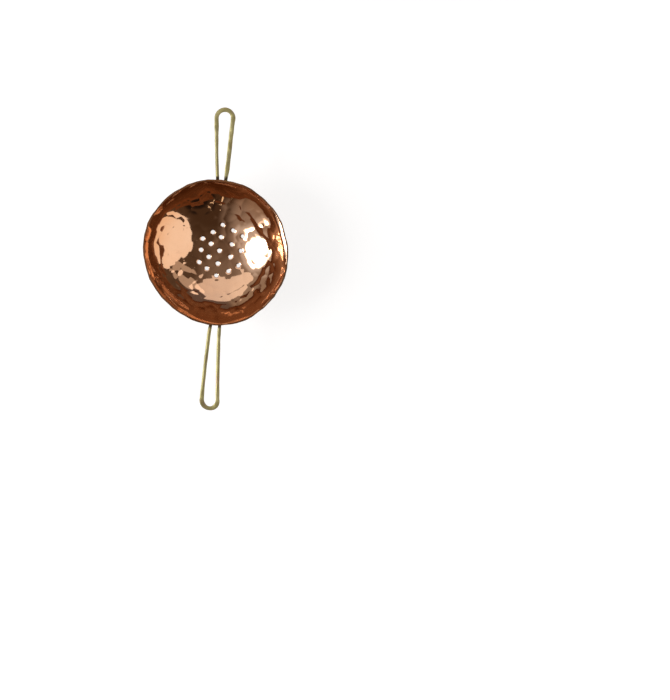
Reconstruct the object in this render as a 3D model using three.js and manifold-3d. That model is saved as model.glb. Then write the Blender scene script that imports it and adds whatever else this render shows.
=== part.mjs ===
// A bar strainer: a round-bottomed copper bowl with 19 punched holes, and two brass wire loop
// handles, a long one and a short one, whose feet are brazed to the outside of the bowl.
// Millimetres, +Z up. The origin is the centre of the small flat under the bowl. The handles lie
// along Y: the short one points to +Y and the long one to -Y.
import * as THREE from "three";
import { mergeVertices } from "three/addons/utils/BufferGeometryUtils.js";
import Module from "manifold-3d";

// ---------- driving dimensions ----------

// Bowl: raised from one sheet, close to a slice of a sphere, with a planished flat to stand on.
const RIM_RADIUS = 50;
const BOWL_HEIGHT = 28;
const BASE_RADIUS = 9;
const SHEET = 1.0;
// Hand raising leaves the rim a little oval: its long axis lies at OVAL_ANGLE from +X.
const OVAL_SHARE = 0.018;
const OVAL_ANGLE = THREE.MathUtils.degToRad(133);
const BOWL_SEGMENTS = 72;
const WALL_RINGS = 12;

// Holes: five columns of 3, 4, 5, 4 and 3, punched by hand. The columns lean, their spacing along
// the column grows towards +X, and the whole field sits a little off the bowl's centre.
const HOLE_RADIUS = 1.5;
const HOLE_SIDES = 16;
const HOLE_COLUMNS = [3, 4, 5, 4, 3];
const FIELD_CENTRE = new THREE.Vector2(2.2, 1.95);
const COLUMN_STEP = 7.1;
const COLUMN_TURN = THREE.MathUtils.degToRad(2);
const ROW_STEP = 9.1;
const ROW_STEP_GROWTH = 0.5;
const ROW_LEAN = THREE.MathUtils.degToRad(4.7);
// Each punch mark wanders off its place a little, at most this far across and along the columns.
const WANDER_ACROSS = 0.73;
const WANDER_ALONG = 0.37;

// Handles: one wire each, bent to a hairpin. The wire is round at the feet and forged flat at the
// end of the loop. Its top is level with the rim, and a foot turns down just outside the rim and
// follows the wall.
const WIRE_RADIUS = 1.15;
const WIRE_SIDES = 12;
const WIRE_LEVEL = BOWL_HEIGHT - WIRE_RADIUS;
// The cut ends of the wire are filed round: how far they stand out, and their size at the tip.
const FILED_LENGTH = 0.35 * WIRE_RADIUS;
const FILED_SHARE = 0.6;
const FOOT_INWARD = 5.6;
const FOOT_BEND = 3.2;
const LOOP_HALF_WIDTH = 1.55;
const LOOP_HALF_THICKNESS = 0.62;
// 1 gives the section an elliptical outline, and less squares it off.
const FORGED_SQUARENESS = 0.55;
// How far the wire is fully flat, from the outer end of the loop.
const FORGED_LENGTH = 6;
const FOOT_STEPS = 5;
const BEND_STEPS = 7;
const LEG_STEPS = 7;
const ARC_STEPS = 20;
const HANDLES = [
  {
    name: "short_handle",
    heading: 1,
    footSpacing: 5.6,
    footOffset: 1.15,
    lean: THREE.MathUtils.degToRad(0.32),
    loopRadius: 5.8,
    reach: 99.8,
    taperLength: 26,
  },
  {
    name: "long_handle",
    heading: -1,
    footSpacing: 6.2,
    footOffset: -2.3,
    lean: THREE.MathUtils.degToRad(-0.63),
    loopRadius: 5.55,
    reach: 109.3,
    taperLength: 14,
  },
];

// Brazing: filler metal between each foot and the wall, which runs out into a fillet on both sides.
const BRAZE_GAP = 0.3;
const BRAZE_HALF_WIDTH = 2.1;
const BRAZE_HALF_THICKNESS = 1.0;
const BRAZE_OVERRUN = 0.9;
// The filler's middle lies this far from the wire's centre, as a share of the way to the wall.
const BRAZE_DEPTH_SHARE = 0.8;
// Below 1, its ends are blunt.
const BRAZE_TAPER_POWER = 0.4;
// How far out from the rim's radius it reaches along the wire.
const BRAZE_PAST_RIM = 0.4;
const CLEARANCE = 0.05;

// ---------- materials ----------

const copper = new THREE.MeshStandardMaterial({ color: 0xe8a283, metalness: 1, roughness: 0.08 });
const brass = new THREE.MeshStandardMaterial({ color: 0xc9b26a, metalness: 1, roughness: 0.25 });
const filler = new THREE.MeshStandardMaterial({ color: 0x8f7a45, metalness: 1, roughness: 0.45 });

// ---------- the bowl's shape, shared by every piece that touches it ----------

// The outer wall is part of a sphere through the edge of the base flat and the rim.
const SPHERE_HEIGHT =
  (RIM_RADIUS ** 2 + BOWL_HEIGHT ** 2 - BASE_RADIUS ** 2) / (2 * BOWL_HEIGHT);
const OUTER_RADIUS = Math.hypot(BASE_RADIUS, SPHERE_HEIGHT);

function ovalFactor(x, y) {
  return 1 + OVAL_SHARE * Math.cos(2 * (Math.atan2(y, x) - OVAL_ANGLE));
}

// Stretches a round geometry to the oval of the bowl.
function makeOval(geometry) {
  const position = geometry.getAttribute("position");
  for (let i = 0; i < position.count; i += 1) {
    const factor = ovalFactor(position.getX(i), position.getY(i));
    position.setX(i, position.getX(i) * factor);
    position.setY(i, position.getY(i) * factor);
  }
  return geometry;
}

// Height of the surface that lies `outward` mm outside the outer wall, over the point (x, y).
function wallHeight(x, y, outward) {
  const round = Math.hypot(x, y) / ovalFactor(x, y);
  const radius = OUTER_RADIUS + outward;
  return SPHERE_HEIGHT - Math.sqrt(Math.max(radius ** 2 - round ** 2, 0));
}

// The unit vector that points out of the wall at (x, y).
function wallNormal(x, y) {
  return new THREE.Vector3(x, y, wallHeight(x, y, 0) - SPHERE_HEIGHT).normalize();
}

// Profile points, as (radius, height), up one spherical wall from its flat to the rim.
function wallProfile(radius, flatHeight) {
  const angleAt = (height) => Math.acos((SPHERE_HEIGHT - height) / radius);
  const low = angleAt(flatHeight);
  const high = angleAt(BOWL_HEIGHT);
  const points = [];
  for (let i = 0; i <= WALL_RINGS; i += 1) {
    const angle = low + ((high - low) * i) / WALL_RINGS;
    const height = SPHERE_HEIGHT - radius * Math.cos(angle);
    points.push(new THREE.Vector2(radius * Math.sin(angle), height));
  }
  return points;
}

// LatheGeometry turns its profile about Y, so the result is stood up to turn about Z.
function latheAboutZ(profile) {
  const turned = new THREE.LatheGeometry(profile, BOWL_SEGMENTS);
  return makeOval(turned.rotateX(Math.PI / 2));
}

// ---------- solids with manifold-3d ----------

const wasm = await Module();
wasm.setup();

function toSolid(geometry) {
  const bare = geometry.index ? geometry.toNonIndexed() : geometry.clone();
  bare.deleteAttribute("normal");
  bare.deleteAttribute("uv");
  const merged = mergeVertices(bare, 1e-4);
  return new wasm.Manifold(
    new wasm.Mesh({
      numProp: 3,
      vertProperties: new Float32Array(merged.getAttribute("position").array),
      triVerts: new Uint32Array(merged.index.array),
    }),
  );
}

function toGeometry(solid) {
  const mesh = solid.getMesh();
  const geometry = new THREE.BufferGeometry();
  geometry.setAttribute("position", new THREE.BufferAttribute(mesh.vertProperties, 3));
  geometry.setIndex(new THREE.BufferAttribute(mesh.triVerts, 1));
  geometry.computeVertexNormals();
  return geometry;
}

// Cosine or sine pulled towards a square corner: power 1 leaves it as it is.
function squared(value, power) {
  return Math.sign(value) * Math.abs(value) ** power;
}

// A closed skin over a row of rings. Each station has a centre, its side and up directions, a
// halfWidth, a halfThickness and a power that squares its outline.
function loft(stations, sides) {
  const positions = [];
  const index = [];
  for (const { centre, side, up, halfWidth, halfThickness, power } of stations) {
    for (let k = 0; k < sides; k += 1) {
      const angle = ((k + 0.5) / sides) * 2 * Math.PI;
      const point = centre
        .clone()
        .addScaledVector(side, halfWidth * squared(Math.cos(angle), power))
        .addScaledVector(up, halfThickness * squared(Math.sin(angle), power));
      positions.push(...point.toArray());
    }
  }
  const ring = (row, k) => row * sides + (k % sides);
  for (let row = 0; row + 1 < stations.length; row += 1) {
    for (let k = 0; k < sides; k += 1) {
      index.push(ring(row, k), ring(row, k + 1), ring(row + 1, k));
      index.push(ring(row, k + 1), ring(row + 1, k + 1), ring(row + 1, k));
    }
  }
  const last = stations.length - 1;
  for (let k = 1; k + 1 < sides; k += 1) {
    index.push(ring(0, 0), ring(0, k + 1), ring(0, k));
    index.push(ring(last, 0), ring(last, k), ring(last, k + 1));
  }
  const geometry = new THREE.BufferGeometry();
  geometry.setAttribute("position", new THREE.Float32BufferAttribute(positions, 3));
  geometry.setIndex(index);
  geometry.computeVertexNormals();
  return geometry;
}

// ---------- strainer bowl ----------

function bowlShell() {
  const outer = wallProfile(OUTER_RADIUS, 0);
  const inner = wallProfile(OUTER_RADIUS - SHEET, SHEET);
  const profile = [
    new THREE.Vector2(0, 0),
    ...outer,
    ...inner.reverse(),
    new THREE.Vector2(0, SHEET),
  ];
  return latheAboutZ(profile);
}

// Where each hole is punched, seen from above.
function holeCentres() {
  const across = new THREE.Vector2(Math.cos(COLUMN_TURN), Math.sin(COLUMN_TURN));
  const along = new THREE.Vector2(Math.sin(ROW_LEAN), Math.cos(ROW_LEAN));
  const centres = [];
  HOLE_COLUMNS.forEach((count, n) => {
    const column = n - (HOLE_COLUMNS.length - 1) / 2;
    const step = ROW_STEP + ROW_STEP_GROWTH * column;
    for (let m = 0; m < count; m += 1) {
      const row = m - (count - 1) / 2;
      const wander = new THREE.Vector2(
        WANDER_ACROSS * Math.sin(4.5 * n + 0.4 * m + 0.84),
        WANDER_ALONG * Math.sin(4.6 * n + 2.1 * m - 1.5),
      );
      centres.push(
        FIELD_CENTRE.clone()
          .addScaledVector(across, column * COLUMN_STEP)
          .addScaledVector(along, row * step)
          .add(wander),
      );
    }
  });
  return centres;
}

// A punch standing square to the sheet over the point (x, y).
function punch({ x, y }) {
  const pin = new THREE.CylinderGeometry(HOLE_RADIUS, HOLE_RADIUS, 8 * SHEET, HOLE_SIDES);
  const inFlat = Math.hypot(x, y) < BASE_RADIUS;
  const axis = inFlat ? new THREE.Vector3(0, 0, -1) : wallNormal(x, y);
  pin.applyQuaternion(new THREE.Quaternion().setFromUnitVectors(new THREE.Vector3(0, -1, 0), axis));
  const height = inFlat ? 0 : wallHeight(x, y, 0);
  return pin.translate(x, y, height);
}

function strainerBowl() {
  let solid = toSolid(bowlShell());
  for (const centre of holeCentres()) {
    solid = solid.subtract(toSolid(punch(centre)));
  }
  const mesh = new THREE.Mesh(toGeometry(solid), copper);
  mesh.name = "strainer_bowl";
  return mesh;
}

// ---------- wire handles ----------

// Plan of a hairpin, seen from above, with the loop towards +Y. It runs from the right foot's tip
// round the loop to the left foot's tip. The legs leave the rim footSpacing apart and splay until
// they meet the loop's arc.
function hairpinPlan(handle) {
  const half = handle.footSpacing / 2;
  const arcCentre = handle.reach - LOOP_HALF_WIDTH - handle.loopRadius;
  const span = arcCentre - RIM_RADIUS;
  const splay =
    Math.asin(handle.loopRadius / Math.hypot(half, span)) - Math.atan2(half, span);
  const legLength = Math.sqrt(half ** 2 + span ** 2 - handle.loopRadius ** 2);
  const alongLeg = (distance) =>
    new THREE.Vector2(half + distance * Math.sin(splay), RIM_RADIUS + distance * Math.cos(splay));
  const stretches = [
    { from: -FOOT_INWARD, to: -FOOT_BEND / 2, steps: FOOT_STEPS },
    { from: -FOOT_BEND / 2, to: FOOT_BEND * 1.5, steps: BEND_STEPS },
    { from: FOOT_BEND * 1.5, to: legLength, steps: LEG_STEPS },
  ];
  const right = [];
  for (const { from, to, steps } of stretches) {
    for (let i = 0; i < steps; i += 1) {
      right.push(alongLeg(from + ((to - from) * i) / steps));
    }
  }
  const plan = [...right];
  for (let i = 0; i <= ARC_STEPS; i += 1) {
    const angle = -splay + ((Math.PI + 2 * splay) * i) / ARC_STEPS;
    plan.push(
      new THREE.Vector2(
        handle.loopRadius * Math.cos(angle),
        arcCentre + handle.loopRadius * Math.sin(angle),
      ),
    );
  }
  plan.push(...right.reverse().map((p) => new THREE.Vector2(-p.x, p.y)));
  return plan;
}

// Lays a plan point into the strainer: leaned about the middle of its feet, then turned to its side.
function placePlan(point, handle) {
  const feet = new THREE.Vector2(0, RIM_RADIUS);
  const leaned = point.clone().rotateAround(feet, handle.lean);
  leaned.x += handle.footOffset;
  return leaned.multiplyScalar(handle.heading);
}

// Height of the wire's centre: level outside the rim, and following the wall under it. The two
// runs meet in a rounded bend.
function wireHeight(x, y) {
  const wall = wallHeight(x, y, WIRE_RADIUS + BRAZE_GAP);
  const blend = Math.max(FOOT_BEND - Math.abs(WIRE_LEVEL - wall), 0) / FOOT_BEND;
  return Math.min(WIRE_LEVEL, wall) - (blend ** 2 * FOOT_BEND) / 4;
}

function wirePath(handle) {
  return hairpinPlan(handle).map((point) => {
    const { x, y } = placePlan(point, handle);
    return new THREE.Vector3(x, y, wireHeight(x, y));
  });
}

// Turns a path into stations: `side` is level, and `up` is square to the wire.
function stationsAlong(path, sizeAt) {
  return path.map((centre, i) => {
    const before = path[Math.max(i - 1, 0)];
    const after = path[Math.min(i + 1, path.length - 1)];
    const tangent = after.clone().sub(before).normalize();
    const side = new THREE.Vector3(0, 0, 1).cross(tangent).normalize();
    const up = new THREE.Vector3().crossVectors(tangent, side).normalize();
    return { centre, side, up, ...sizeAt(centre, i) };
  });
}

// The wire's section at a point of its path: round, then forged flat towards the loop's end.
function wireSection(handle, centre, grow) {
  const toEnd = handle.reach - Math.abs(centre.y);
  const taperEnd = FORGED_LENGTH + handle.taperLength;
  const flat = 1 - THREE.MathUtils.smoothstep(toEnd, FORGED_LENGTH, taperEnd);
  return {
    halfWidth: THREE.MathUtils.lerp(WIRE_RADIUS, LOOP_HALF_WIDTH, flat) + grow,
    halfThickness: THREE.MathUtils.lerp(WIRE_RADIUS, LOOP_HALF_THICKNESS, flat) + grow,
    power: THREE.MathUtils.lerp(1, FORGED_SQUARENESS, flat),
  };
}

function wireGeometry(handle, grow = 0) {
  const stations = stationsAlong(wirePath(handle), (centre) => wireSection(handle, centre, grow));
  const filed = (station, next) => {
    const outward = station.centre.clone().sub(next.centre).normalize();
    return {
      ...station,
      centre: station.centre.clone().addScaledVector(outward, FILED_LENGTH),
      halfWidth: FILED_SHARE * station.halfWidth,
      halfThickness: FILED_SHARE * station.halfThickness,
    };
  };
  const count = stations.length;
  return loft(
    [
      filed(stations[0], stations[1]),
      ...stations,
      filed(stations[count - 1], stations[count - 2]),
    ],
    WIRE_SIDES,
  );
}

function handleMesh(handle) {
  const mesh = new THREE.Mesh(wireGeometry(handle), brass);
  mesh.name = handle.name;
  return mesh;
}

// ---------- brazed joints ----------

// Everything up to CLEARANCE outside the outer wall, as one solid to cut with.
function wallCutter() {
  const outer = wallProfile(OUTER_RADIUS + CLEARANCE, 0);
  const top = BOWL_HEIGHT + 1;
  const profile = [
    new THREE.Vector2(0, -CLEARANCE),
    new THREE.Vector2(outer[0].x, -CLEARANCE),
    ...outer.slice(1),
    new THREE.Vector2(outer[outer.length - 1].x, top),
    new THREE.Vector2(0, top),
  ];
  return toSolid(latheAboutZ(profile));
}

// The filler round one foot: a flared pad between wire and wall, cut to both.
function brazeGeometry(handle, footPath, cutters) {
  const pad = footPath.map((point) => {
    const outward = wallNormal(point.x, point.y);
    return point.clone().addScaledVector(outward, -(WIRE_RADIUS + BRAZE_GAP) * BRAZE_DEPTH_SHARE);
  });
  const beyond = pad[0].clone().sub(pad[1]).normalize();
  const path = [pad[0].clone().addScaledVector(beyond, BRAZE_OVERRUN), ...pad];
  const stations = stationsAlong(path, (centre, i) => {
    const taper = Math.sin((Math.PI * (i + 0.6)) / (path.length + 0.2));
    return {
      halfWidth: BRAZE_HALF_WIDTH * taper ** BRAZE_TAPER_POWER,
      halfThickness: BRAZE_HALF_THICKNESS * taper ** BRAZE_TAPER_POWER,
      power: 1,
    };
  });
  let solid = toSolid(loft(stations, WIRE_SIDES));
  for (const cutter of cutters) {
    solid = solid.subtract(cutter);
  }
  const bodies = solid.decompose().sort((a, b) => b.volume() - a.volume());
  return toGeometry(bodies[0]);
}

function brazeMeshes(handle, wall) {
  const cutters = [wall, toSolid(wireGeometry(handle, CLEARANCE))];
  const path = wirePath(handle);
  const underRim = (point) => Math.hypot(point.x, point.y) < RIM_RADIUS + BRAZE_PAST_RIM;
  const isRightHand = (point, i) => i < path.length / 2;
  return ["right", "left"].map((hand) => {
    const foot = path.filter(
      (point, i) => underRim(point) && isRightHand(point, i) === (hand === "right"),
    );
    const fromTip = hand === "right" ? foot : foot.reverse();
    const mesh = new THREE.Mesh(brazeGeometry(handle, fromTip, cutters), filler);
    mesh.name = `${handle.name}_braze_${hand}`;
    return mesh;
  });
}

// ---------- assembly ----------

const strainer = new THREE.Group();
strainer.add(strainerBowl());
const wall = wallCutter();
for (const handle of HANDLES) {
  strainer.add(handleMesh(handle), ...brazeMeshes(handle, wall));
}

export default strainer;
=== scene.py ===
import math

import bpy
import numpy as np
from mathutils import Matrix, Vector, geometry


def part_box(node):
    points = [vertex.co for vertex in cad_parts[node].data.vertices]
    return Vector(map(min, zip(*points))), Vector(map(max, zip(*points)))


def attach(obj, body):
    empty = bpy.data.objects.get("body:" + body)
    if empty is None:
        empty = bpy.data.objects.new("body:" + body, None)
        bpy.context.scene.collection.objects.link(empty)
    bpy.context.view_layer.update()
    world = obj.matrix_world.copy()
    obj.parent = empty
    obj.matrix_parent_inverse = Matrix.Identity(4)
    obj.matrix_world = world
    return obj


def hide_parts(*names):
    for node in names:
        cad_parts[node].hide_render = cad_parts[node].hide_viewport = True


# A hand-hammered copper bowl strainer with two brass wire loop handles, seen from straight above.
# The bowl, the two handles and the four brazed joints each stand for one solid of the CAD frame.
# Shapes are worked out in millimetres in the CAD frame, and turned into metres as they are made.

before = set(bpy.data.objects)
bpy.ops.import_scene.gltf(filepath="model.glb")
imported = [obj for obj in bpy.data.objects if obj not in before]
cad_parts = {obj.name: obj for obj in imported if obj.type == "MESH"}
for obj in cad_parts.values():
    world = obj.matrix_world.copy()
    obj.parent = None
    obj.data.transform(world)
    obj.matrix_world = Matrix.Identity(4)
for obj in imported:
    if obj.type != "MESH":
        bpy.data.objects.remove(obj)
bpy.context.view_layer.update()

MM = 0.001
BODY = "root"


def corners_mm(node):
    low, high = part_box(node)
    return np.array(low) / MM, np.array(high) / MM


# ---------- driving dimensions ----------

bowl_low, bowl_high = corners_mm("strainer_bowl")
RIM_RADIUS = (bowl_high - bowl_low)[:2].mean() / 2
BOWL_HEIGHT = bowl_high[2]
BASE_RADIUS = 9.0
SHEET = 1.0
OVAL_SHARE = 0.018
OVAL_ANGLE = math.radians(133)

SPHERE_HEIGHT = (RIM_RADIUS**2 + BOWL_HEIGHT**2 - BASE_RADIUS**2) / (2 * BOWL_HEIGHT)
OUTER_RADIUS = math.hypot(BASE_RADIUS, SPHERE_HEIGHT)

HOLE_RADIUS = 1.5
HOLE_COLUMNS = (3, 4, 5, 4, 3)
FIELD_CENTRE = np.array([2.2, 1.95])
COLUMN_STEP = 7.1
COLUMN_TURN = math.radians(2)
ROW_STEP = 9.1
ROW_STEP_GROWTH = 0.5
ROW_LEAN = math.radians(4.7)
# Each hole is a little off its place, by a sine: its size, its change with the column and with the
# row, and its start.
WANDER_ACROSS = (0.73, 4.5, 0.4, 0.84)
WANDER_ALONG = (0.37, 4.6, 2.1, -1.5)

WIRE_RADIUS = 1.15
WIRE_LEVEL = BOWL_HEIGHT - WIRE_RADIUS
WIRE_SIDES = 28
WIRE_STEP = 0.45
BRAZE_GAP = 0.3
FOOT_INWARD = 5.6
FOOT_BEND = 3.2
# The feet were left as they were: work on the legs sets in between these lengths from the ends.
FOOT_KEPT = (9.0, 16.0)
LOOP_HALF_WIDTH = 1.55
LOOP_HALF_THICKNESS = 0.62
FORGED_SQUARENESS = 0.6
FORGED_LENGTH = 6.0
# Unevenness of the forging, how much of it the round legs have, and how far the section rolls.
HAMMERED_SHARE = 0.14
LEG_BULGE_SHARE = 0.25
FORGED_ROLL = 0.16
# The cut ends were filed: added length, and the share of the wire's size at the end and next to it.
FILED_LENGTH = 0.1
FILED_END_SHARE = 0.6
FILED_NEXT_SHARE = 0.9
# Seen with its loop away, legs_forged says how flat the right and the left leg were hammered, with
# one as flat as the loop's end. The bow is how far the middle of the handle stands off towards +X.
HANDLES = (
    dict(
        node="short_handle", heading=1, foot_spacing=5.6, foot_offset=1.15, lean=math.radians(0.32),
        loop_radius=5.8, reach=99.8, taper_length=26.0, legs_forged=(0.85, 0.0), bow=0.0, seed=11,
    ),
    dict(
        node="long_handle", heading=-1, foot_spacing=6.2, foot_offset=-2.3, lean=math.radians(-0.63),
        loop_radius=5.55, reach=109.3, taper_length=14.0, legs_forged=(0.25, 0.25), bow=-0.65, seed=23,
    ),
)

# The filler at a foot: its patch runs from past the foot's tip to just under the rim. Its crest
# lies along the wire, rises past the tip, falls off towards the rim and has ragged sides, and the
# edges of the patch are sunk in the wall.
BRAZE_ROWS = 44
BRAZE_COLUMNS = 34
FOOT_PAST_RIM = 0.5
BRAZE_PAST_TIP = 2.2
BRAZE_UNDER_RIM = 0.3
BRAZE_HALF_PATCH = 3.2
BRAZE_HALF_WIDTH = 1.35
BRAZE_RAGGED_WIDTH = 0.35
BRAZE_CREST = 1.55
BRAZE_CREST_POWER = 2.4
BRAZE_TIP_RISE = (-1.7, 0.6)
BRAZE_TOP_LENGTH = 3
BRAZE_TOP_FALL = 0.75
BRAZE_RAGGED_RISE = 0.05
BRAZE_SUNK_EDGE = 0.12
BRAZE_DEPTH = 0.45

# The bowl's mesh: an even net, with rings of points round the holes and along the rim. The ring
# steps are how far each ring lies from the edge.
MESH_STEP = 0.6
HOLE_SIDES = 40
HOLE_RING_STEPS = (0, 0.08, 0.2, 0.38, 0.62)
HOLE_CLEAR = 0.9
HOLE_MARGIN = 0.01
RIM_RING_STEPS = (0, 0.12, 0.32)
RIM_POINT_SPACING = 0.5
RIM_CLEAR_SHARE = 0.95

# Surface work: planishing marks in rings, shallow round dents that meet in low ridges. Each mark is
# off its place, deeper or shallower and leaning, all by chance.
MARK_SPACING = 7.2
MARK_SPACING_ROUND = MARK_SPACING * 1.05
MARK_SCATTER = 1.5
MARK_DEPTH_SPREAD = 0.035
MARK_RADIUS_INSIDE = 62.0
MARK_RADIUS_OUTSIDE = 52.0
MARK_LEAN_INSIDE = 0.018
MARK_LEAN_OUTSIDE = 0.04
RIDGE_SHARPNESS = 38.0
# The rim was struck less: the shares of the marks and of the long undulation that are left there,
# and the distances below the rim between which they grow to the whole.
CALM_SHARE = 0.1
LONG_WAVE_SHARE = 0.4
CALM_FROM_RIM = (4, 17)
# Punching from the inside pushed the sheet out at the edges of the holes: how far from a hole that
# reaches, and by how much on the sheet's two sides.
BURR_REACH = 0.32
BURR_INSIDE = 0.28
BURR_OUTSIDE = 0.16
# The rim's waves, as (waves round the rim, size, where they start), how far down the wall they
# reach, and how much they move it out and up.
RIM_WAVES = ((3, 0.16, 0.7), (5, 0.12, 2.1), (8, 0.1, 4.0))
RIM_WAVE_LENGTH = 14
RIM_WAVE_OUT = 1.2
RIM_WAVE_UP = 1.1
# How far down the inside the level cut of the rim is taken up, and how high the base's lowest
# points stand off the floor.
RIM_CUT_LENGTH = 8
BASE_CLEAR = 0.02

# Where the wall was raised unevenly: direction, half spread round the bowl, how far the wall moves
# out, and the distances below the rim between which it does so.
SWELLS = (
    (12, 28, -0.45, 20.0, 6.0),
    (17, 24, 3.8, 4.0, -7.6),
    (45, 22, 2.6, 21.0, 2.0),
    (157, 6, 0.45, 6.0, -3.0),
    (160, 28, 0.9, 19.0, 6.0),
    (228, 20, -0.6, 13.0, 6.0),
    (282, 32, 0.55, 10.0, -2.0),
    (320, 8, 0.9, 4.0, -4.0),
    (338, 16, 1.1, 21.0, 4.0),
)
# Where the bowl is pressed out of round: direction, half spread and how far in the rim lies.
PRESSED = (
    (140, 28, 1.1),
    (256, 14, 0.5),
    (6, 18, 0.5),
    (45, 20, 1.9),
    (24, 11, 0.6),
    (336, 17, 0.9),
)
# Single sharper blows inside the bowl: place in plan, half width and depth.
DINGS = (
    (1.5, 34.0, 1.5, 0.16),
    (6.5, 31.5, 1.2, -0.12),
    (-7.5, 31.0, 1.3, 0.14),
    (18.5, 23.0, 0.9, 0.1),
    (32.0, 21.5, 0.9, 0.1),
    (-24.0, 15.5, 1.1, -0.12),
    (-35.0, -3.5, 1.6, -0.2),
    (-26.0, -15.0, 1.3, -0.16),
    (19.5, -29.5, 1.2, 0.16),
    (28.0, -25.5, 1.4, 0.2),
    (-11.5, -33.0, 1.6, -0.18),
    (34.0, -26.0, 0.9, 0.12),
)


# ---------- small helpers ----------

def smoothstep(value, low, high):
    t = np.clip((value - low) / (high - low), 0, 1)
    return t * t * (3 - 2 * t)


def waves(points, seed, count, wavelength, slope):
    """Smooth random undulation: plane waves of about one wavelength, with about the given slope."""
    rng = np.random.default_rng(seed)
    total = np.zeros(len(points))
    for _ in range(count):
        length = wavelength * rng.uniform(0.75, 1.35)
        direction = rng.uniform(0, 2 * math.pi)
        phase = rng.uniform(0, 2 * math.pi)
        k = 2 * math.pi / length
        along = points[:, 0] * math.cos(direction) + points[:, 1] * math.sin(direction)
        total += slope / k * np.sin(k * along + phase)
    return total * math.sqrt(2 / count)


def make_object(name, points_mm, faces, material, replaces, smooth_angle=50):
    mesh = bpy.data.meshes.new(name)
    mesh.from_pydata([tuple(p) for p in np.asarray(points_mm) * MM], [], faces)
    mesh.validate()
    mesh.polygons.foreach_set("use_smooth", [True] * len(mesh.polygons))
    mesh.set_sharp_from_angle(angle=math.radians(smooth_angle))
    mesh.materials.append(material)
    piece = bpy.data.objects.new(name, mesh)
    bpy.context.scene.collection.objects.link(piece)
    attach(piece, BODY)
    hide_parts(replaces)


# ---------- the bowl's sheet ----------

# Distance up the wall from the middle of the base, with the wall's slope, radius and height there.
# The edge of the base flat is eased over BASE_EASE on both sides.
BASE_EASE = 3.0
PROFILE_POINTS = 1200
base_angle = math.asin(BASE_RADIUS / OUTER_RADIUS)
rim_angle = math.asin(RIM_RADIUS / OUTER_RADIUS)
RIM_DISTANCE = BASE_RADIUS + OUTER_RADIUS * (rim_angle - base_angle)
profile_distance = np.linspace(0, RIM_DISTANCE, PROFILE_POINTS)
profile_angle = (
    base_angle + (profile_distance - BASE_RADIUS) / OUTER_RADIUS
) * smoothstep(profile_distance, BASE_RADIUS - BASE_EASE, BASE_RADIUS + BASE_EASE)


def running_sum(values, steps):
    middle = (values[1:] + values[:-1]) / 2
    return np.concatenate([[0], np.cumsum(middle * np.diff(steps))])


profile_radius = running_sum(np.cos(profile_angle), profile_distance)
profile_height = running_sum(np.sin(profile_angle), profile_distance)


def off_place(wander, column_number, row_number):
    size, per_column, per_row, start = wander
    return size * math.sin(per_column * column_number + per_row * row_number + start)


def hole_centres():
    across = np.array([math.cos(COLUMN_TURN), math.sin(COLUMN_TURN)])
    along = np.array([math.sin(ROW_LEAN), math.cos(ROW_LEAN)])
    centres = []
    for n, count in enumerate(HOLE_COLUMNS):
        column = n - (len(HOLE_COLUMNS) - 1) / 2
        step = ROW_STEP + ROW_STEP_GROWTH * column
        for m in range(count):
            row = m - (count - 1) / 2
            wander = np.array([off_place(WANDER_ACROSS, n, m), off_place(WANDER_ALONG, n, m)])
            centres.append(
                FIELD_CENTRE + across * column * COLUMN_STEP + along * row * step + wander
            )
    return np.array(centres)


def flat_from_plan(plan):
    """Places in the sheet laid out flat, where a point's distance and direction from the middle
    are its distance up the wall and its direction round the bowl."""
    radius = np.hypot(plan[:, 0], plan[:, 1])
    angle = np.arctan2(plan[:, 1], plan[:, 0])
    round_radius = radius / (1 + OVAL_SHARE * np.cos(2 * (angle - OVAL_ANGLE)))
    distance = np.interp(round_radius, profile_radius, profile_distance)
    return np.stack([distance * np.cos(angle), distance * np.sin(angle)], axis=1)


flat_holes = flat_from_plan(hole_centres())
flat_dings = [
    (flat_from_plan(np.array([[x, y]]))[0], half_width, depth) for x, y, half_width, depth in DINGS
]


def spread_at(distance):
    """How much wider the flat layout is than the bowl, round the bowl at that distance."""
    return distance / np.maximum(np.interp(distance, profile_distance, profile_radius), 1e-6)


def hole_ring(centre, radius):
    distance = np.hypot(*centre)
    outward = centre / distance
    sideways = np.array([-outward[1], outward[0]]) * spread_at(distance)
    turn = np.linspace(0, 2 * math.pi, HOLE_SIDES, endpoint=False)
    return centre + radius * (np.outer(np.cos(turn), outward) + np.outer(np.sin(turn), sideways))


def distance_from_holes(flat):
    nearest = np.full(len(flat), 1e9)
    for centre in flat_holes:
        distance = np.hypot(*centre)
        outward = centre / distance
        sideways = np.array([-outward[1], outward[0]])
        offset = flat - centre
        nearest = np.minimum(
            nearest, np.hypot(offset @ outward, offset @ sideways / spread_at(distance))
        )
    return nearest


def mark_centres(seed):
    rng = np.random.default_rng(seed)
    centres = [np.zeros(2)]
    ring = 1
    while ring * MARK_SPACING < RIM_DISTANCE + MARK_SPACING:
        distance = ring * MARK_SPACING
        girth = 2 * math.pi * np.interp(distance, profile_distance, profile_radius)
        count = round(girth / MARK_SPACING_ROUND)
        start = rng.uniform(0, 2 * math.pi)
        for i in range(count):
            angle = start + 2 * math.pi * i / count
            scatter = rng.normal(0, MARK_SCATTER, 2)
            centres.append(distance * np.array([math.cos(angle), math.sin(angle)]) + scatter)
        ring += 1
    return np.array(centres)


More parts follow.
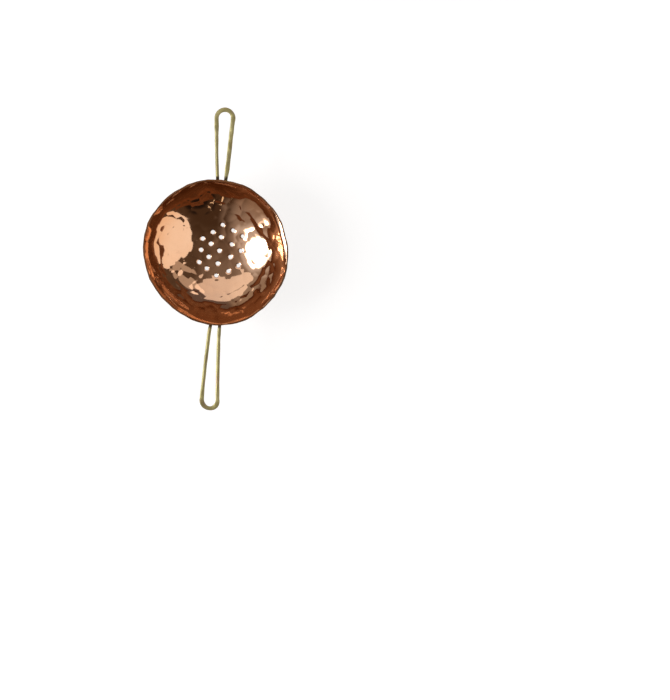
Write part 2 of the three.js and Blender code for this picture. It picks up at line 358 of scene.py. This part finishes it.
def planishing(flat, centres, mark_radius, mark_lean, seed):
    """Height above a bed of shallow round dents: nought in the middle of each, rising between."""
    rng = np.random.default_rng(seed)
    depth = rng.uniform(-MARK_DEPTH_SPREAD, MARK_DEPTH_SPREAD, len(centres))
    lean = rng.normal(0, mark_lean, (len(centres), 2))
    heights = []
    for centre, extra, slope in zip(centres, depth, lean):
        offset = flat - centre
        heights.append((offset**2).sum(1) / (2 * mark_radius) + offset @ slope + extra)
    heights = np.array(heights)
    lowest = heights.min(0)
    total = np.exp(-RIDGE_SHARPNESS * (heights - lowest)).sum(0)
    return lowest - np.log(total) / RIDGE_SHARPNESS


marks = mark_centres(seed=5)


def nearby(angle, direction, spread):
    """One in a direction round the bowl, given in degrees, falling to nought past the spread."""
    from_direction = (np.degrees(angle) - direction + 180) % 360 - 180
    return np.exp(-((from_direction / spread) ** 4))


def sheet_points(flat, inside):
    """Points on the inside or the outside of the hammered sheet."""
    distance = np.hypot(flat[:, 0], flat[:, 1])
    angle = np.arctan2(flat[:, 1], flat[:, 0])
    # The rim is cut level, so the inside ends a little lower down the wall than the outside.
    cut = SHEET / math.tan(rim_angle) if inside else 0
    walked = distance - cut * smoothstep(distance, RIM_DISTANCE - RIM_CUT_LENGTH, RIM_DISTANCE)
    slope = np.interp(walked, profile_distance, profile_angle)
    radius = np.interp(walked, profile_distance, profile_radius)
    height = np.interp(walked, profile_distance, profile_height)
    to_rim = RIM_DISTANCE - distance
    calm = CALM_SHARE + (1 - CALM_SHARE) * smoothstep(to_rim, *CALM_FROM_RIM)
    long_share = LONG_WAVE_SHARE + (1 - LONG_WAVE_SHARE) * calm
    outward = long_share * waves(flat, seed=31, count=9, wavelength=26, slope=0.03)
    outward += calm * waves(flat, seed=37, count=14, wavelength=12, slope=0.014)
    near_hole = np.exp(-np.maximum(distance_from_holes(flat) - HOLE_RADIUS, 0) / BURR_REACH)
    for direction, spread, move, start, end in SWELLS:
        outward += move * nearby(angle, direction, spread) * smoothstep(-to_rim, -start, -end)
    if inside:
        outward -= calm * planishing(flat, marks, MARK_RADIUS_INSIDE, MARK_LEAN_INSIDE, seed=7)
        outward += BURR_INSIDE * near_hole - SHEET
        for centre, half_width, depth in flat_dings:
            offset = flat - centre
            outward += depth * np.exp(-(offset**2).sum(1) / (2 * half_width**2))
    else:
        outward += planishing(flat, marks, MARK_RADIUS_OUTSIDE, MARK_LEAN_OUTSIDE, seed=9)
        outward += BURR_OUTSIDE * near_hole
    radius = radius + outward * np.sin(slope)
    height = height - outward * np.cos(slope)
    if not inside:
        height = np.maximum(height, BASE_CLEAR)
    rim_wave = sum(size * np.sin(count * angle + start) for count, size, start in RIM_WAVES)
    near_rim = smoothstep(distance, RIM_DISTANCE - RIM_WAVE_LENGTH, RIM_DISTANCE)
    radius = radius + RIM_WAVE_OUT * rim_wave * near_rim
    for direction, spread, depth in PRESSED:
        radius = radius - depth * nearby(angle, direction, spread) * (distance / RIM_DISTANCE) ** 2
    height = height + RIM_WAVE_UP * rim_wave * near_rim
    oval = 1 + OVAL_SHARE * np.cos(2 * (angle - OVAL_ANGLE))
    return np.stack(
        [radius * oval * np.cos(angle), radius * oval * np.sin(angle), height], axis=1
    )


def wall_normal(flat):
    """The directions straight out of the wall, without its hammer marks."""
    distance = np.hypot(flat[:, 0], flat[:, 1])
    angle = np.arctan2(flat[:, 1], flat[:, 0])
    slope = np.interp(distance, profile_distance, profile_angle)
    return np.stack(
        [np.sin(slope) * np.cos(angle), np.sin(slope) * np.sin(angle), -np.cos(slope)], axis=1
    )


def flat_layout():
    """A net of points over the flat layout, and its triangles, with the holes left open."""
    row_height = MESH_STEP * math.sqrt(3) / 2
    rows = int(2 * RIM_DISTANCE / row_height) + 2
    net = []
    for j in range(rows):
        y = -RIM_DISTANCE + j * row_height
        x = np.arange(-RIM_DISTANCE, RIM_DISTANCE + MESH_STEP, MESH_STEP) + (j % 2) * MESH_STEP / 2
        net.append(np.stack([x, np.full(len(x), y)], axis=1))
    net = np.concatenate(net)
    off_rim = np.hypot(net[:, 0], net[:, 1]) < RIM_DISTANCE - RIM_CLEAR_SHARE * MESH_STEP
    off_holes = distance_from_holes(net) > HOLE_RADIUS + HOLE_CLEAR
    rings = []
    for centre in flat_holes:
        for step in HOLE_RING_STEPS:
            rings.append(hole_ring(centre, HOLE_RADIUS + step))
    count = round(2 * math.pi * RIM_DISTANCE / RIM_POINT_SPACING)
    turn = np.linspace(0, 2 * math.pi, count, endpoint=False)
    for step in RIM_RING_STEPS:
        rings.append((RIM_DISTANCE - step) * np.stack([np.cos(turn), np.sin(turn)], axis=1))
    flat = np.concatenate([net[off_rim & off_holes], *rings])
    found = geometry.delaunay_2d_cdt([Vector(p) for p in flat], [], [], 0, 1e-6, False)
    flat = np.array([tuple(p) for p in found[0]])
    triangles = np.array(found[2])
    middle = flat[triangles].mean(axis=1)
    # A triangle across a hole has its middle inside the straight sides between the ring's points.
    hole_sides = HOLE_RADIUS * math.cos(math.pi / HOLE_SIDES)
    open_hole = distance_from_holes(middle) < hole_sides - HOLE_MARGIN
    return flat, triangles[~open_hole]


def open_edges(triangles):
    """The directed edges that only one triangle uses."""
    edges = np.concatenate([triangles[:, [0, 1]], triangles[:, [1, 2]], triangles[:, [2, 0]]])
    seen = {(a, b) for a, b in edges.tolist()}
    return [(a, b) for a, b in seen if (b, a) not in seen]


def hammered_bowl(material):
    flat, triangles = flat_layout()
    inside = sheet_points(flat, inside=True)
    outside = sheet_points(flat, inside=False)
    count = len(flat)
    rim_edges = open_edges(triangles)
    rim_points = sorted({a for a, b in rim_edges})
    middle_index = {point: 2 * count + i for i, point in enumerate(rim_points)}
    middle = (inside[rim_points] + outside[rim_points]) / 2
    points = np.concatenate([inside, outside, middle])
    faces = [tuple(t) for t in triangles.tolist()]
    faces += [(c + count, b + count, a + count) for a, b, c in triangles.tolist()]
    for a, b in rim_edges:
        faces.append((b, a, middle_index[a], middle_index[b]))
        faces.append((middle_index[b], middle_index[a], a + count, b + count))
    make_object("hammered_bowl", points, faces, material, "strainer_bowl")


# ---------- wire handles ----------

def wall_height(x, y, outward):
    """Height of the surface that lies that far outside the wall, over a place in plan."""
    round_radius = np.hypot(x, y) / (1 + OVAL_SHARE * np.cos(2 * (np.arctan2(y, x) - OVAL_ANGLE)))
    radius = OUTER_RADIUS + outward
    return SPHERE_HEIGHT - np.sqrt(np.maximum(radius**2 - round_radius**2, 0))


def hairpin_plan(handle):
    """Plan of the bent wire with its loop towards +Y, from the right foot to the left one."""
    half = handle["foot_spacing"] / 2
    bend = handle["loop_radius"]
    arc_centre = handle["reach"] - LOOP_HALF_WIDTH - bend
    span = arc_centre - RIM_RADIUS
    splay = math.asin(bend / math.hypot(half, span)) - math.atan2(half, span)
    leg = math.sqrt(half**2 + span**2 - bend**2)
    along = np.arange(-FOOT_INWARD, leg, WIRE_STEP)
    right = np.stack(
        [half + along * math.sin(splay), RIM_RADIUS + along * math.cos(splay)], axis=1
    )
    turn = np.arange(-splay, math.pi + splay, WIRE_STEP / bend)
    arc = np.stack([bend * np.cos(turn), arc_centre + bend * np.sin(turn)], axis=1)
    left = right[::-1] * np.array([-1, 1])
    return np.concatenate([right, arc, left])


def place_plan(plan, handle):
    """Leans the plan about the middle of its feet, then turns it to its side of the bowl."""
    lean = handle["lean"]
    offset = plan - np.array([0, RIM_RADIUS])
    x = offset[:, 0] * math.cos(lean) - offset[:, 1] * math.sin(lean) + handle["foot_offset"]
    y = offset[:, 0] * math.sin(lean) + offset[:, 1] * math.cos(lean) + RIM_RADIUS
    return np.stack([x, y], axis=1) * handle["heading"]


def wire_path(handle):
    """The wire's middle line: level outside the bowl, and turned down along the wall at its feet."""
    plan = place_plan(hairpin_plan(handle), handle)
    wall = wall_height(plan[:, 0], plan[:, 1], WIRE_RADIUS + BRAZE_GAP)
    blend = np.maximum(FOOT_BEND - np.abs(WIRE_LEVEL - wall), 0) / FOOT_BEND
    height = np.minimum(WIRE_LEVEL, wall) - blend**2 * FOOT_BEND / 4
    return np.stack([plan[:, 0], plan[:, 1], height], axis=1)


def wire_skin(path, half_width, half_thickness, power, roll):
    """Points and faces of a closed skin round a path, with its section level across."""
    sides = WIRE_SIDES
    tangent = np.gradient(path, axis=0)
    tangent /= np.linalg.norm(tangent, axis=1)[:, None]
    side = np.cross(np.array([0, 0, 1]), tangent)
    side /= np.linalg.norm(side, axis=1)[:, None]
    up = np.cross(tangent, side)
    turn = (np.arange(sides) + 0.5) / sides * 2 * math.pi
    across = np.sign(np.cos(turn)) * np.abs(np.cos(turn)) ** power[:, None] * half_width[:, None]
    above = np.sign(np.sin(turn)) * np.abs(np.sin(turn)) ** power[:, None] * half_thickness[:, None]
    rolled_across = across * np.cos(roll)[:, None] - above * np.sin(roll)[:, None]
    rolled_above = across * np.sin(roll)[:, None] + above * np.cos(roll)[:, None]
    points = (
        path[:, None]
        + side[:, None] * rolled_across[:, :, None]
        + up[:, None] * rolled_above[:, :, None]
    ).reshape(-1, 3)
    faces = []
    for row in range(len(path) - 1):
        for k in range(sides):
            after = (k + 1) % sides
            faces.append((
                row * sides + k, row * sides + after,
                (row + 1) * sides + after, (row + 1) * sides + k,
            ))
    last = (len(path) - 1) * sides
    faces.append(tuple(reversed(range(sides))))
    faces.append(tuple(range(last, last + sides)))
    return points, faces


def forged_handle(handle, material):
    path = wire_path(handle)
    walked = np.concatenate([[0], np.cumsum(np.linalg.norm(np.diff(path, axis=0), axis=1))])
    to_end = handle["reach"] - np.abs(path[:, 1])
    taper_end = FORGED_LENGTH + handle["taper_length"]
    forged = 1 - smoothstep(to_end, FORGED_LENGTH, taper_end)
    # The legs were hammered a little flat too, each by its own amount, but not at their feet.
    free = smoothstep(walked, *FOOT_KEPT) * smoothstep(walked[-1] - walked, *FOOT_KEPT)
    right_leg, left_leg = handle["legs_forged"]
    leg_forged = np.where(walked < walked[-1] / 2, right_leg, left_leg)
    forged = np.maximum(forged, leg_forged * free)
    line = np.stack([walked, np.zeros(len(walked))], axis=1)
    seed = handle["seed"]
    hammered = waves(line, seed, count=7, wavelength=5.0, slope=0.35)
    bulge = waves(line, seed + 1, count=5, wavelength=9.0, slope=0.22)
    half_width = WIRE_RADIUS + (LOOP_HALF_WIDTH - WIRE_RADIUS) * forged
    half_thickness = WIRE_RADIUS + (LOOP_HALF_THICKNESS - WIRE_RADIUS) * forged
    bulging = LEG_BULGE_SHARE + (1 - LEG_BULGE_SHARE) * forged
    half_width = half_width * (1 + HAMMERED_SHARE * bulge * bulging)
    half_thickness = half_thickness * (1 - HAMMERED_SHARE * hammered * forged)
    roll = FORGED_ROLL * waves(line, seed + 2, count=6, wavelength=7.0, slope=1.0) * forged
    power = 1 + (FORGED_SQUARENESS - 1) * forged
    # The wire was straightened and bent by hand, so its run wanders a little off the true curve.
    path[:, 0] += free * waves(line, seed + 3, count=5, wavelength=26.0, slope=0.02)
    reached = np.clip((np.abs(path[:, 1]) - RIM_RADIUS) / (handle["reach"] - RIM_RADIUS), 0, 1)
    path[:, 0] += handle["bow"] * np.sin(math.pi * reached)
    path[:, 2] += free * waves(line, seed + 4, count=4, wavelength=34.0, slope=0.012)
    for end, inner in ((0, 1), (-1, -2)):
        outward = path[end] - path[inner]
        path[end] = path[end] + outward / np.linalg.norm(outward) * FILED_LENGTH
        for half_size in (half_width, half_thickness):
            half_size[end] *= FILED_END_SHARE
            half_size[inner] *= FILED_NEXT_SHARE
    points, faces = wire_skin(path, half_width, half_thickness, power, roll)
    make_object(
        "forged_" + handle["node"], points, faces, material, handle["node"],
        smooth_angle=70,
    )


# ---------- brazed joints ----------

def braze_fillet(handle, hand, material):
    """Filler that ran down both sides of a foot, as a raised patch whose edges sink into the wall."""
    path = wire_path(handle)
    half = len(path) // 2
    foot = path[:half] if hand == "right" else path[half:][::-1]
    foot = foot[np.hypot(foot[:, 0], foot[:, 1]) < RIM_RADIUS + FOOT_PAST_RIM]
    foot_radius = np.hypot(foot[:, 0], foot[:, 1])
    tip_distance = np.hypot(*flat_from_plan(foot[:1, :2])[0])
    along = np.linspace(tip_distance - BRAZE_PAST_TIP, RIM_DISTANCE - BRAZE_UNDER_RIM, BRAZE_ROWS)
    across = np.linspace(-BRAZE_HALF_PATCH, BRAZE_HALF_PATCH, BRAZE_COLUMNS)
    radius = np.interp(along, profile_distance, profile_radius)
    centre_x = np.interp(radius, foot_radius, foot[:, 0])
    x = centre_x[:, None] + across[None, :]
    y = handle["heading"] * np.sqrt(np.maximum(radius[:, None] ** 2 - x**2, 1))
    flat = flat_from_plan(np.stack([x.ravel(), y.ravel()], axis=1))
    wall = sheet_points(flat, inside=False)
    normal = wall_normal(flat)
    from_tip, from_crest = (
        grid.ravel() for grid in np.meshgrid(along - tip_distance, across, indexing="ij")
    )
    seed = handle["seed"] + (50 if hand == "right" else 60)
    patch = np.stack([from_tip, from_crest], axis=1)
    ragged = waves(patch, seed, count=8, wavelength=2.6, slope=0.35)
    width = BRAZE_HALF_WIDTH + BRAZE_RAGGED_WIDTH * ragged
    crest = BRAZE_CREST * np.exp(-np.abs(from_crest / width) ** BRAZE_CREST_POWER)
    length = from_tip.max()
    top_fall = BRAZE_TOP_FALL * smoothstep(from_tip, length - BRAZE_TOP_LENGTH, length)
    ends = smoothstep(from_tip, *BRAZE_TIP_RISE) * (1 - top_fall)
    rise = crest * ends + BRAZE_RAGGED_RISE * ragged - BRAZE_SUNK_EDGE
    points = np.concatenate([wall + normal * rise[:, None], wall - normal * BRAZE_DEPTH])
    rows, columns = BRAZE_ROWS, BRAZE_COLUMNS
    count = rows * columns
    faces = []
    for i in range(rows - 1):
        for j in range(columns - 1):
            here = i * columns + j
            quad = (here, here + columns, here + columns + 1, here + 1)
            faces.append(quad)
            faces.append(tuple(count + k for k in reversed(quad)))
    last_row = (rows - 1) * columns
    outline = [
        *range(columns - 1),
        *range(columns - 1, last_row + columns - 1, columns),
        *range(last_row + columns - 1, last_row, -1),
        *range(last_row, 0, -columns),
    ]
    for p, q in zip(outline, outline[1:] + outline[:1]):
        faces.append((p, q, q + count, p + count))
    # The quads above turn one way for one heading and the other way for the other.
    if handle["heading"] < 0:
        faces = [tuple(reversed(face)) for face in faces]
    node = f"{handle['node']}_braze_{hand}"
    make_object(node + "_fillet", points, faces, material, node)


# ---------- materials ----------

def start_material(name, metallic=1.0):
    material = bpy.data.materials.new(name)
    material.use_nodes = True
    tree = material.node_tree
    shader = tree.nodes["Principled BSDF"]
    shader.inputs["Metallic"].default_value = metallic
    place = tree.nodes.new("ShaderNodeTexCoord")
    return material, tree, shader, place.outputs["Object"]


def stretched(tree, place, scale):
    mapping = tree.nodes.new("ShaderNodeMapping")
    mapping.inputs["Scale"].default_value = scale
    tree.links.new(place, mapping.inputs["Vector"])
    return mapping.outputs["Vector"]


def noise_of(tree, vector, scale, detail):
    texture = tree.nodes.new("ShaderNodeTexNoise")
    texture.inputs["Scale"].default_value = scale
    texture.inputs["Detail"].default_value = detail
    texture.inputs["Roughness"].default_value = 0.55
    tree.links.new(vector, texture.inputs["Vector"])
    return texture.outputs["Fac"]


def ramp(tree, value, *stops):
    """A colour ramp: each stop is (position, colour or grey)."""
    node = tree.nodes.new("ShaderNodeValToRGB")
    elements = node.color_ramp.elements
    while len(elements) < len(stops):
        elements.new(0.5)
    for element, (position, colour) in zip(elements, stops):
        element.position = position
        grey = (colour, colour, colour)
        element.color = (*(colour if isinstance(colour, tuple) else grey), 1)
    tree.links.new(value, node.inputs["Fac"])
    return node.outputs["Color"]


def mixed(tree, share, first, second, mode="MIX"):
    node = tree.nodes.new("ShaderNodeMix")
    node.data_type = "RGBA"
    node.blend_type = mode
    for socket, value in ((node.inputs[0], share), (node.inputs[6], first), (node.inputs[7], second)):
        if isinstance(value, bpy.types.NodeSocket):
            tree.links.new(value, socket)
        elif isinstance(value, tuple):
            socket.default_value = (*value, 1)
        else:
            socket.default_value = value
    return node.outputs[2]


def faded(tree, value, low, high, start=0.0, end=1.0):
    """Smoothly from one number, where the value is low, to another, where it is high."""
    node = tree.nodes.new("ShaderNodeMapRange")
    node.interpolation_type = "SMOOTHSTEP"
    node.inputs["From Min"].default_value = low
    node.inputs["From Max"].default_value = high
    node.inputs["To Min"].default_value = start
    node.inputs["To Max"].default_value = end
    tree.links.new(value, node.inputs["Value"])
    return node.outputs["Result"]


def bumped(tree, shader, height, strength, distance):
    bump = tree.nodes.new("ShaderNodeBump")
    bump.inputs["Strength"].default_value = strength
    bump.inputs["Distance"].default_value = distance
    tree.links.new(height, bump.inputs["Height"])
    tree.links.new(bump.outputs["Normal"], shader.inputs["Normal"])


def across_bowl(tree, place, azimuth):
    """How far across the bowl towards a direction, from minus one at one rim to one at the other."""
    turn = math.radians(azimuth)
    along = tree.nodes.new("ShaderNodeVectorMath")
    along.operation = "DOT_PRODUCT"
    along.inputs[1].default_value = Vector((math.cos(turn), math.sin(turn), 0)) / (RIM_RADIUS * MM)
    tree.links.new(place, along.inputs[0])
    return along.outputs["Value"]


def from_middle(tree, place):
    """How far out from the bowl's axis, with one at the rim."""
    flat_place = tree.nodes.new("ShaderNodeVectorMath")
    flat_place.operation = "MULTIPLY"
    flat_place.inputs[1].default_value = (1 / (RIM_RADIUS * MM), 1 / (RIM_RADIUS * MM), 0)
    tree.links.new(place, flat_place.inputs[0])
    length = tree.nodes.new("ShaderNodeVectorMath")
    length.operation = "LENGTH"
    tree.links.new(flat_place.outputs["Vector"], length.inputs[0])
    return length.outputs["Value"]


def copper_material():
    material, tree, shader, place = start_material("polished_copper")
    clouds = noise_of(tree, place, 42, detail=4)
    bright = ramp(tree, clouds, (0.3, (0.93, 0.55, 0.34)), (0.7, (0.95, 0.6, 0.39)))
    # Painted reflection colour for the ring near the rim: darker, redder copper.
    painted_reflection_copper = ramp(tree, clouds, (0.3, (0.82, 0.39, 0.18)), (0.7, (0.89, 0.46, 0.24)))
    # Painted reflection: the copper is darker and redder towards the rim, standing in for the metal
    # reflecting itself there. Towards 8 degrees from +X this is left off, a painted highlight.
    rim_painted_reflection = mixed(tree, faded(tree, from_middle(tree, place), 0.62, 0.95), bright, painted_reflection_copper)
    # Painted highlight: on the side towards 8 degrees from +X the rim keeps the plain, lighter copper.
    tone = mixed(tree, faded(tree, across_bowl(tree, place, 8), 0.45, 0.95), rim_painted_reflection, bright)
    spots = ramp(tree, noise_of(tree, place, 210, detail=5), (0.62, 0.0), (0.78, 1.0))
    colour = mixed(tree, mixed(tree, 0.25, (0, 0, 0), spots), tone, (0.62, 0.33, 0.22))
    tree.links.new(colour, shader.inputs["Base Color"])
    wiped = noise_of(tree, stretched(tree, place, (1, 6, 3)), 60, detail=4)
    tree.links.new(ramp(tree, wiped, (0.35, 0.045), (0.75, 0.085)), shader.inputs["Roughness"])
    scratches = noise_of(tree, stretched(tree, place, (9, 1, 4)), 420, detail=2)
    bumped(tree, shader, scratches, 0.05, 0.0001)
    return material


def brass_material():
    material, tree, shader, place = start_material("tarnished_brass", metallic=0.5)
    clouds = noise_of(tree, place, 95, detail=5)
    tone = ramp(
        tree, clouds, (0.32, (0.47, 0.35, 0.19)), (0.45, (0.46, 0.41, 0.17)), (0.68, (0.58, 0.52, 0.26))
    )
    # The wire is nearly black at its feet, where it lies inside the rim's radius, and keeps its tone
    # beyond.
    past_rim_share = faded(tree, from_middle(tree, place), 1.025, 1.065)
    handled = ramp(tree, noise_of(tree, place, 38, detail=3), (0.38, 0.68), (0.58, 1.04))
    tone = mixed(tree, 1.0, tone, handled, "MULTIPLY")
    tone = mixed(tree, past_rim_share, (0.09, 0.065, 0.025), tone)
    tree.links.new(tone, shader.inputs["Base Color"])
    drawn = noise_of(tree, stretched(tree, place, (8, 1, 8)), 300, detail=4)
    tree.links.new(ramp(tree, drawn, (0.3, 0.42), (0.75, 0.6)), shader.inputs["Roughness"])
    bumped(tree, shader, drawn, 0.18, 0.0002)
    return material


def filler_material():
    material, tree, shader, place = start_material("brazing_filler")
    clouds = noise_of(tree, place, 420, detail=5)
    tone = ramp(
        tree, clouds, (0.3, (0.1, 0.07, 0.035)), (0.5, (0.3, 0.22, 0.1)), (0.72, (0.52, 0.42, 0.2))
    )
    tree.links.new(tone, shader.inputs["Base Color"])
    tree.links.new(ramp(tree, clouds, (0.3, 0.6), (0.7, 0.35)), shader.inputs["Roughness"])
    bumped(tree, shader, noise_of(tree, place, 900, detail=4), 0.4, 0.0003)
    return material


# ---------- stage, light and camera ----------

# The picture's frame, at the height of the rim: its width, how far the bowl's middle lies to the
# left of and above the frame's middle, and how far the strainer is turned clockwise in it.
FRAME_WIDTH = 461.4
BOWL_LEFT = 82.1
BOWL_ABOVE = 67.5
TURN = math.radians(3.23)
CAMERA_DISTANCE = 2400.0
SENSOR = 36.0

FLOOR_HALF_WIDTH_M = 12.0

# The lights: name, azimuth and zenith in degrees, distance, width and height in metres, radiance
# and colour.
SOFTBOXES = (
    ("key_left", 187, 63, 1.5, 0.94, 0.85, 9.0, (1, 1, 1)),
    ("key_halo", 187, 63, 1.55, 1.2, 1.1, 0.8, (1, 1, 1)),
    ("fill_right", -10, 65, 1.5, 1.75, 1.63, 0.87, (1.0, 0.98, 0.95)),
    ("back_wall", 101, 52, 1.6, 2.7, 1.0, 0.57, (1.0, 0.98, 0.98)),
    ("wall_right", 48, 60, 1.6, 1.3, 0.6, 0.36, (1.0, 0.93, 0.86)),
    ("lamp_near", -101, 73, 1.5, 0.08, 0.52, 1.0, (1.0, 0.9, 0.7)),
    ("lamp_far", -95, 68, 1.5, 0.24, 0.08, 1.0, (1.0, 0.9, 0.7)),
)
# Brighter and darker parts of the room: azimuth, zenith, the angles from there within which the
# colour is full and beyond which it is gone, and the colour.
GLOWS = (
    (120, 40, 12, 52, (0.19, 0.155, 0.13)),
    (145, 82, 14, 50, (0.3, 0.27, 0.24)),
    (80, 82, 8, 34, (0.12, 0.1, 0.1)),
    (-90, 64, 20, 56, (0.055, 0.034, 0.02)),
    (-73, 75, 5, 18, (0.015, 0.01, 0.008)),
    (196, 64, 20, 60, (0.3, 0.26, 0.235)),
    (187, 60, 22, 36, (0.55, 0.55, 0.57)),
)


def add_camera():
    data = bpy.data.cameras.new("camera")
    data.sensor_fit = "HORIZONTAL"
    data.sensor_width = SENSOR
    data.lens = SENSOR * CAMERA_DISTANCE / FRAME_WIDTH
    data.clip_start = 0.01
    data.clip_end = 100
    camera = bpy.data.objects.new("camera", data)
    right = Vector((math.cos(TURN), math.sin(TURN), 0))
    up = Vector((-math.sin(TURN), math.cos(TURN), 0))
    place = right * BOWL_LEFT - up * BOWL_ABOVE
    place.z = BOWL_HEIGHT + CAMERA_DISTANCE
    camera.location = place * MM
    camera.rotation_euler = (0, 0, TURN)
    bpy.context.scene.collection.objects.link(camera)
    bpy.context.scene.camera = camera


def towards(azimuth, zenith):
    """A direction from the bowl, with azimuths counted anticlockwise from the picture's right."""
    turn = math.radians(azimuth) + TURN
    tilt = math.radians(zenith)
    return Vector((
        math.sin(tilt) * math.cos(turn), math.sin(tilt) * math.sin(turn), math.cos(tilt),
    ))


def add_softbox(name, azimuth, zenith, distance, width, height, radiance, colour):
    """A soft light at a direction from the bowl, in metres, facing the bowl. Radiance is its glow."""
    data = bpy.data.lights.new(name, "AREA")
    data.shape = "ELLIPSE"
    data.size = width
    data.size_y = height
    data.energy = radiance * math.pi**2 / 4 * width * height
    data.color = colour
    softbox = bpy.data.objects.new(name, data)
    direction = towards(azimuth, zenith)
    softbox.location = direction * distance
    softbox.rotation_euler = direction.to_track_quat("Z", "Y").to_euler()
    softbox.visible_camera = False
    bpy.context.scene.collection.objects.link(softbox)


def glow(tree, around, below, azimuth, zenith, core, reach, colour):
    """Blends a colour into the room round one direction, fading out between two angles from it."""
    lined_up = tree.nodes.new("ShaderNodeVectorMath")
    lined_up.operation = "DOT_PRODUCT"
    lined_up.inputs[1].default_value = towards(azimuth, zenith)
    tree.links.new(around, lined_up.inputs[0])
    share = faded(
        tree, lined_up.outputs["Value"], math.cos(math.radians(reach)), math.cos(math.radians(core))
    )
    return mixed(tree, share, below, colour)


def add_world():
    """Plain white to the eye, and a room of soft browns and greys in the metal's reflections."""
    world = bpy.data.worlds.new("room")
    world.use_nodes = True
    tree = world.node_tree
    tree.nodes.clear()
    seen = tree.nodes.new("ShaderNodeBackground")
    seen.inputs["Color"].default_value = (1, 1, 1, 1)
    felt = tree.nodes.new("ShaderNodeBackground")
    around = tree.nodes.new("ShaderNodeTexCoord").outputs["Generated"]
    clutter = noise_of(tree, around, 2.4, detail=4)
    room = ramp(tree, clutter, (0.3, (0.07, 0.05, 0.034)), (0.7, (0.115, 0.083, 0.06)))
    for azimuth, zenith, core, reach, colour in GLOWS:
        room = glow(tree, around, room, azimuth, zenith, core, reach, colour)
    tree.links.new(room, felt.inputs["Color"])
    path = tree.nodes.new("ShaderNodeLightPath")
    mix = tree.nodes.new("ShaderNodeMixShader")
    output = tree.nodes.new("ShaderNodeOutputWorld")
    tree.links.new(path.outputs["Is Camera Ray"], mix.inputs["Fac"])
    tree.links.new(felt.outputs["Background"], mix.inputs[1])
    tree.links.new(seen.outputs["Background"], mix.inputs[2])
    tree.links.new(mix.outputs["Shader"], output.inputs["Surface"])
    bpy.context.scene.world = world


def add_floor():
    material = bpy.data.materials.new("light_table")
    material.use_nodes = True
    tree = material.node_tree
    shader = tree.nodes["Principled BSDF"]
    shader.inputs["Base Color"].default_value = (0.32, 0.32, 0.32, 1)
    shader.inputs["Roughness"].default_value = 1.0
    shader.inputs["Specular IOR Level"].default_value = 0.0
    shader.inputs["Emission Color"].default_value = (1, 1, 1, 1)
    # The table glows white to the eye, least under the strainer so that its shadow shows. In the
    # metal's reflections it glows less, and fades away from the strainer.
    away = from_middle(tree, tree.nodes.new("ShaderNodeTexCoord").outputs["Object"])
    path = tree.nodes.new("ShaderNodeLightPath")
    strength = tree.nodes.new("ShaderNodeMapRange")
    tree.links.new(faded(tree, away, 0.7, 5.0, 0.24, 0.04), strength.inputs["To Min"])
    tree.links.new(faded(tree, away, 4.0, 14.0, 0.82, 1.0), strength.inputs["To Max"])
    tree.links.new(path.outputs["Is Camera Ray"], strength.inputs["Value"])
    tree.links.new(strength.outputs["Result"], shader.inputs["Emission Strength"])
    half = FLOOR_HALF_WIDTH_M
    corners = [(-half, -half, 0), (half, -half, 0), (half, half, 0), (-half, half, 0)]
    mesh = bpy.data.meshes.new("floor")
    mesh.from_pydata(corners, [], [(0, 1, 2, 3)])
    mesh.materials.append(material)
    floor = bpy.data.objects.new("floor", mesh)
    bpy.context.scene.collection.objects.link(floor)


# ---------- assembly ----------

add_camera()
copper = copper_material()
brass = brass_material()
filler = filler_material()
hammered_bowl(copper)
for handle in HANDLES:
    forged_handle(handle, brass)
    for hand in ("right", "left"):
        braze_fillet(handle, hand, filler)
add_floor()
for softbox in SOFTBOXES:
    add_softbox(*softbox)
add_world()

scene = bpy.context.scene
scene.view_settings.view_transform = "Standard"
scene.cycles.use_denoising = True
